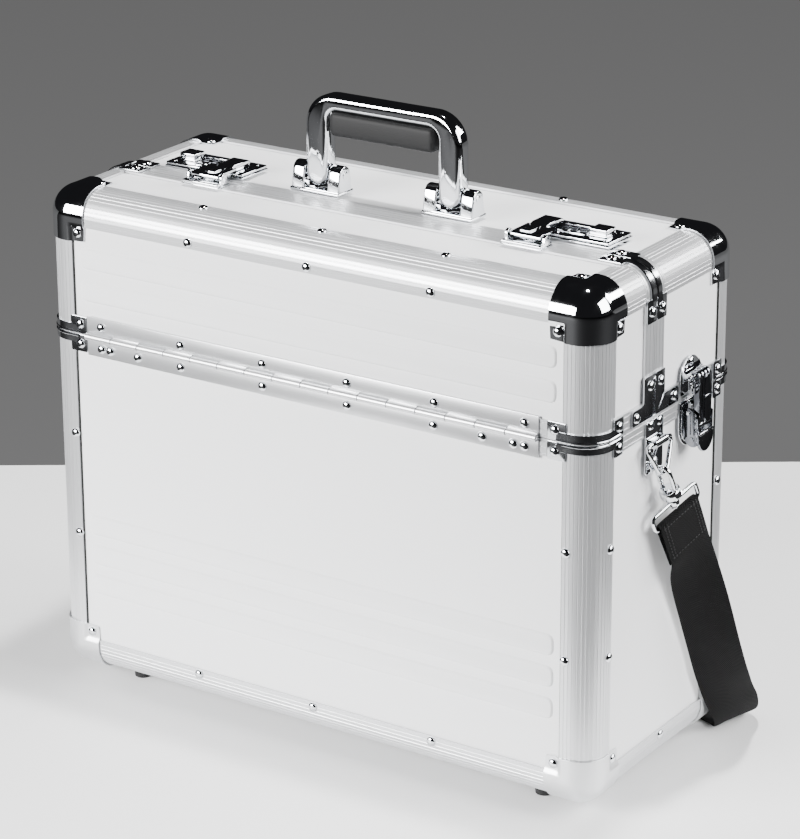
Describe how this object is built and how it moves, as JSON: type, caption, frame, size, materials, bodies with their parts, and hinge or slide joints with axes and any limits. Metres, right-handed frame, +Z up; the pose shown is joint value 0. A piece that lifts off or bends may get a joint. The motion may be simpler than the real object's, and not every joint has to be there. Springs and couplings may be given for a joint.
{
  "type": "hard shell pilot case",
  "caption": "Boxy aluminium-framed hard case with two top wings on full-length hinges, folding handle, combination locks, draw latches and a shoulder strap.",
  "frame": {"origin": "centre of the closed case's plan, on the surface that the feet stand on", "axes": "+Z up; X along the case's long side, +X to the right as seen from the front; the front faces -Y"},
  "size_m": [0.5506, 0.2545, 0.465],
  "materials": {
    "aluminium_profile": "satin, brushed lengthwise",
    "silver_laminate": "satin silver laminate over board",
    "satin_steel": "satin nickel plate",
    "chrome_hardware": "polished",
    "dark_nickel": "dark polished nickel",
    "dial_metal": "satin",
    "soft_grip": "soft dark plastic",
    "foot_rubber": "matte black",
    "black_webbing": "ribbed nylon webbing"
  },
  "bodies": {
    "case": {"body_frame": "aluminium_profile", "body_tray": "silver_laminate", "bottom_corner_front_left": "satin_steel", "bottom_corner_front_right": "satin_steel", "bottom_corner_rear_left": "satin_steel", "bottom_corner_rear_right": "satin_steel", "foot_front_left": "foot_rubber", "foot_front_right": "foot_rubber", "foot_rear_left": "foot_rubber", "foot_rear_right": "foot_rubber", "front_hinge_body_leaf": "satin_steel", "latch_base_left": "chrome_hardware", "latch_base_right": "chrome_hardware", "rear_hinge_body_leaf": "satin_steel", "shoulder_strap": "black_webbing", "strap_anchor_left": "chrome_hardware", "strap_anchor_right": "chrome_hardware", "strap_slider": "chrome_hardware"},
    "front_wing": {"front_hinge_wing_leaf": "satin_steel", "front_wing_frame": "aluminium_profile", "front_wing_panels": "silver_laminate", "hasp_base_left": "chrome_hardware", "hasp_base_right": "chrome_hardware", "top_corner_front_left": "chrome_hardware", "top_corner_front_right": "chrome_hardware"},
    "rear_wing": {"handle_base_left": "chrome_hardware", "handle_base_right": "chrome_hardware", "latch_strike_left": "chrome_hardware", "latch_strike_right": "chrome_hardware", "lock_body_left": "chrome_hardware", "lock_body_right": "chrome_hardware", "rear_hinge_wing_leaf": "satin_steel", "rear_wing_frame": "aluminium_profile", "rear_wing_panels": "silver_laminate", "top_corner_rear_left": "chrome_hardware", "top_corner_rear_right": "chrome_hardware"},
    "handle": {"handle_bow": "chrome_hardware", "handle_grip": "soft_grip"},
    "hasp_left": {"hasp_arm_left": "chrome_hardware"},
    "hasp_right": {"hasp_arm_right": "chrome_hardware"},
    "hook_gate_left": {"hook_gate_left": "chrome_hardware"},
    "hook_gate_right": {"hook_gate_right": "chrome_hardware"},
    "latch_claw_left": {"latch_claw_left": "dark_nickel"},
    "latch_claw_right": {"latch_claw_right": "dark_nickel"},
    "latch_lever_left": {"latch_lever_left": "dark_nickel"},
    "latch_lever_right": {"latch_lever_right": "dark_nickel"},
    "dial_left_1": {"lock_dial_left_1": "dial_metal"},
    "dial_left_2": {"lock_dial_left_2": "dial_metal"},
    "dial_left_3": {"lock_dial_left_3": "dial_metal"},
    "dial_right_1": {"lock_dial_right_1": "dial_metal"},
    "dial_right_2": {"lock_dial_right_2": "dial_metal"},
    "dial_right_3": {"lock_dial_right_3": "dial_metal"},
    "lock_slide_left": {"lock_knob_left": "chrome_hardware"},
    "lock_slide_right": {"lock_knob_right": "chrome_hardware"},
    "snap_hook_left": {"snap_hook_left": "chrome_hardware"},
    "snap_hook_right": {"snap_hook_right": "chrome_hardware"},
    "strap_ring_left": {"strap_loop_left": "chrome_hardware", "strap_ring_left": "chrome_hardware"},
    "strap_ring_right": {"strap_loop_right": "chrome_hardware", "strap_ring_right": "chrome_hardware"}
  },
  "joints": [
    {"name": "front_wing_hinge", "type": "hinge", "parent": "case", "child": "front_wing", "pos_m": [0, -0.1009, 0.282], "axis": [1, 0, 0], "range_deg": [0, 170]},
    {"name": "rear_wing_hinge", "type": "hinge", "parent": "case", "child": "rear_wing", "pos_m": [0, 0.1009, 0.282], "axis": [-1, 0, 0], "range_deg": [0, 170]},
    {"name": "handle_fold", "type": "hinge", "parent": "rear_wing", "child": "handle", "pos_m": [0, 0.004, 0.4045], "axis": [1, 0, 0], "range_deg": [-88, 88]},
    {"name": "lock_slide_left", "type": "slide", "parent": "rear_wing", "child": "lock_slide_left", "axis": [-1, 0, 0], "range_m": [0, 0.005], "stiffness_N_per_m": 300, "springref_m": -0.004},
    {"name": "dial_left_1_spin", "type": "hinge", "parent": "rear_wing", "child": "dial_left_1", "pos_m": [-0.148, 0.0085, 0.391], "axis": [1, 0, 0], "continuous": true},
    {"name": "dial_left_2_spin", "type": "hinge", "parent": "rear_wing", "child": "dial_left_2", "pos_m": [-0.1555, 0.0085, 0.391], "axis": [1, 0, 0], "continuous": true},
    {"name": "dial_left_3_spin", "type": "hinge", "parent": "rear_wing", "child": "dial_left_3", "pos_m": [-0.163, 0.0085, 0.391], "axis": [1, 0, 0], "continuous": true},
    {"name": "hasp_left_lift", "type": "hinge", "parent": "front_wing", "child": "hasp_left", "pos_m": [-0.1375, -0.028, 0.3965], "axis": [1, 0, 0], "range_deg": [0, 100]},
    {"name": "latch_lever_left_lift", "type": "hinge", "parent": "case", "child": "latch_lever_left", "pos_m": [-0.2405, 0.03, 0.272], "axis": [0, 1, 0], "range_deg": [0, 100]},
    {"name": "latch_claw_left_swing", "type": "hinge", "parent": "latch_lever_left", "child": "latch_claw_left", "pos_m": [-0.2465, 0.03, 0.263], "axis": [0, 1, 0], "range_deg": [-110, 0]},
    {"name": "strap_ring_left_swing", "type": "hinge", "parent": "case", "child": "strap_ring_left", "pos_m": [-0.24, -0.02, 0.264], "axis": [0, 1, 0], "range_deg": [0, 40]},
    {"name": "snap_hook_left_swivel", "type": "hinge", "parent": "strap_ring_left", "child": "snap_hook_left", "pos_m": [-0.2456, -0.01198, 0.22375], "axis": [-0.0802, 0.4011, -0.9125], "range_deg": [-15, 15]},
    {"name": "hook_gate_left_slide", "type": "slide", "parent": "snap_hook_left", "child": "hook_gate_left", "axis": [-0.0802, 0.4011, -0.9125], "range_m": [0, 0.005], "stiffness_N_per_m": 200, "springref_m": -0.003},
    {"name": "lock_slide_right", "type": "slide", "parent": "rear_wing", "child": "lock_slide_right", "axis": [1, 0, 0], "range_m": [0, 0.005], "stiffness_N_per_m": 300, "springref_m": -0.004},
    {"name": "dial_right_1_spin", "type": "hinge", "parent": "rear_wing", "child": "dial_right_1", "pos_m": [0.148, 0.0085, 0.391], "axis": [1, 0, 0], "continuous": true},
    {"name": "dial_right_2_spin", "type": "hinge", "parent": "rear_wing", "child": "dial_right_2", "pos_m": [0.1555, 0.0085, 0.391], "axis": [1, 0, 0], "continuous": true},
    {"name": "dial_right_3_spin", "type": "hinge", "parent": "rear_wing", "child": "dial_right_3", "pos_m": [0.163, 0.0085, 0.391], "axis": [1, 0, 0], "continuous": true},
    {"name": "hasp_right_lift", "type": "hinge", "parent": "front_wing", "child": "hasp_right", "pos_m": [0.1375, -0.028, 0.3965], "axis": [1, 0, 0], "range_deg": [0, 100]},
    {"name": "latch_lever_right_lift", "type": "hinge", "parent": "case", "child": "latch_lever_right", "pos_m": [0.2405, 0.03, 0.272], "axis": [0, -1, 0], "range_deg": [0, 100]},
    {"name": "latch_claw_right_swing", "type": "hinge", "parent": "latch_lever_right", "child": "latch_claw_right", "pos_m": [0.2465, 0.03, 0.263], "axis": [0, -1, 0], "range_deg": [-110, 0]},
    {"name": "strap_ring_right_swing", "type": "hinge", "parent": "case", "child": "strap_ring_right", "pos_m": [0.24, -0.02, 0.264], "axis": [0, -1, 0], "range_deg": [0, 40]},
    {"name": "snap_hook_right_swivel", "type": "hinge", "parent": "strap_ring_right", "child": "snap_hook_right", "pos_m": [0.2456, -0.01198, 0.22375], "axis": [0.0802, 0.4011, -0.9125], "range_deg": [-15, 15]},
    {"name": "hook_gate_right_slide", "type": "slide", "parent": "snap_hook_right", "child": "hook_gate_right", "axis": [0.0802, 0.4011, -0.9125], "range_m": [0, 0.005], "stiffness_N_per_m": 200, "springref_m": -0.003}
  ],
  "couplings": [
    {"joint": "latch_claw_left_swing", "follows": "latch_lever_left_lift", "ratio": -1.1},
    {"joint": "latch_claw_right_swing", "follows": "latch_lever_right_lift", "ratio": -1.1}
  ]
}
